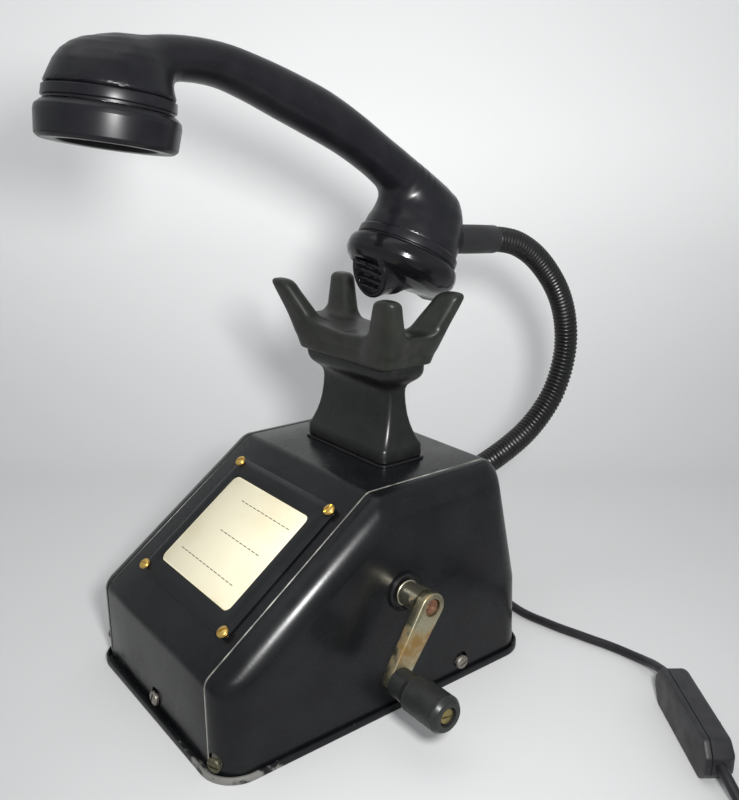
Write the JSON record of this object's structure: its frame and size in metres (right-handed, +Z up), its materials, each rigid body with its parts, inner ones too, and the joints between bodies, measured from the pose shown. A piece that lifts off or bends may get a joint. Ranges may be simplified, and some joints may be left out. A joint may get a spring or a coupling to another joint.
{
  "type": "crank desk telephone lamp",
  "caption": "Magneto desk telephone with a side crank and a sprung cradle, remade as a lamp: the handset stands on a bendable gooseneck and lights from its ear cap.",
  "frame": {"origin": "centre of the base plate's underside, on the surface the object stands on", "axes": "+X towards the crank side, +Y towards the back where the gooseneck leaves, +Z up"},
  "size_m": [0.3909, 0.34, 0.3191],
  "materials": {
    "black_enamel": "black stoving enamel, semi-gloss, worn to bright metal on the edges",
    "rim_enamel": "thin black enamel rubbed to bare grey steel at the corners",
    "gloss_bakelite": "polished black phenolic",
    "dull_bakelite": "black phenolic, hand-worn to a satin grey",
    "nickel": "nickel plate gone yellow, brown in the hollows",
    "brass": "plain brass",
    "steel": "dull plated steel",
    "magnet_steel": "red-painted magnet steel",
    "coil_copper": "enamelled copper winding on a bobbin",
    "paper": "cream card, printed with dashed writing lines",
    "black_rubber": "black rubber sleeve",
    "cord_pvc": "smooth black cable sheath",
    "switch_plastic": "black moulded plastic, fine texture",
    "driver_plastic": "pale moulded plastic",
    "lamp_aluminium": "turned aluminium",
    "frosted_lens": "frosted diffuser"
  },
  "bodies": {
    "housing": {"base_plate": "rim_enamel", "centre_shell": "black_enamel", "right_cheek": "black_enamel", "left_cheek": "black_enamel", "plaque_frame": "black_enamel", "label_card": "paper", "plaque_screw_1": "brass", "plaque_screw_2": "brass", "plaque_screw_3": "brass", "plaque_screw_4": "brass", "housing_screw_front": "steel", "housing_screw_front_right": "steel", "housing_screw_front_left": "steel", "housing_screw_right": "steel", "housing_screw_left": "steel", "housing_screw_back": "steel", "neck_gasket": "black_rubber", "neck_column": "gloss_bakelite", "hook_spring": "steel", "hook_switch": "steel", "crank_bush": "dull_bakelite", "magneto_plate_right": "steel", "magneto_plate_left": "steel", "magneto_magnet_right": "magnet_steel", "magneto_magnet_left": "magnet_steel", "ringer_frame": "steel", "gong_right": "brass", "gong_left": "brass", "ringer_magnet": "coil_copper", "lamp_driver": "driver_plastic", "gooseneck_socket": "black_rubber", "gooseneck_lower": "black_rubber", "strain_relief": "cord_pvc", "cord_tail": "cord_pvc", "switch_plate": "switch_plastic", "switch_cover": "switch_plastic", "cord_lead": "cord_pvc", "cord_coil": "cord_pvc", "plug_lead": "cord_pvc", "mains_plug": "switch_plastic"},
    "fork": {"cradle_fork": "dull_bakelite", "fork_stem": "steel"},
    "crank": {"crank_shaft": "nickel", "crank_arm": "nickel", "crank_set_screw": "steel", "grip_screw": "brass", "drive_gear": "brass"},
    "grip": {"crank_grip": "dull_bakelite"},
    "armature": {"magneto_armature": "steel"},
    "clapper": {"ringer_clapper": "steel"},
    "gooseneck": {"gooseneck_upper": "black_rubber"},
    "handset": {"gooseneck_sleeve": "black_rubber", "handset_shell": "gloss_bakelite", "ear_ring": "gloss_bakelite", "ear_cap": "gloss_bakelite", "lamp_module": "lamp_aluminium", "lamp_lens": "frosted_lens", "mouth_ring": "gloss_bakelite", "mouth_cap": "gloss_bakelite"},
    "rocker": {"switch_rocker": "switch_plastic"}
  },
  "joints": [
    {"name": "fork_press", "type": "slide", "parent": "housing", "child": "fork", "axis": [0, 0, 1], "range_m": [-0.004, 0], "stiffness_N_per_m": 300, "springref_m": 0.012, "deforming": ["hook_spring"]},
    {"name": "crank_turn", "type": "hinge", "parent": "housing", "child": "crank", "pos_m": [0.06, 0.0069, 0.0645], "axis": [1, 0, 0], "continuous": true},
    {"name": "grip_spin", "type": "hinge", "parent": "crank", "child": "grip", "pos_m": [0.1, -0.0137, 0.0334], "axis": [1, 0, 0], "continuous": true},
    {"name": "armature_spin", "type": "hinge", "parent": "housing", "child": "armature", "pos_m": [0, 0.0069, 0.0345], "axis": [1, 0, 0], "continuous": true},
    {"name": "clapper_swing", "type": "hinge", "parent": "housing", "child": "clapper", "pos_m": [0, -0.0435, 0.034], "axis": [0, 0, 1], "range_deg": [-6, 6]},
    {"name": "gooseneck_swing", "type": "hinge", "parent": "housing", "child": "gooseneck", "pos_m": [0, 0.106, 0.0744], "axis": [0, 0, 1], "range_deg": [-10, 10], "deforming": ["gooseneck_lower"]},
    {"name": "gooseneck_bend", "type": "hinge", "parent": "gooseneck", "child": "handset", "pos_m": [0, 0.2073, 0.147], "axis": [1, 0, 0], "range_deg": [-20, 2], "deforming": ["gooseneck_upper"]},
    {"name": "switch_toggle", "type": "hinge", "parent": "housing", "child": "rocker", "pos_m": [0.17632, 0.10176, 0.0105], "axis": [0, 0, 1], "range_deg": [-16, 0]}
  ],
  "couplings": [
    {"joint": "armature_spin", "follows": "crank_turn", "ratio": -4}
  ]
}
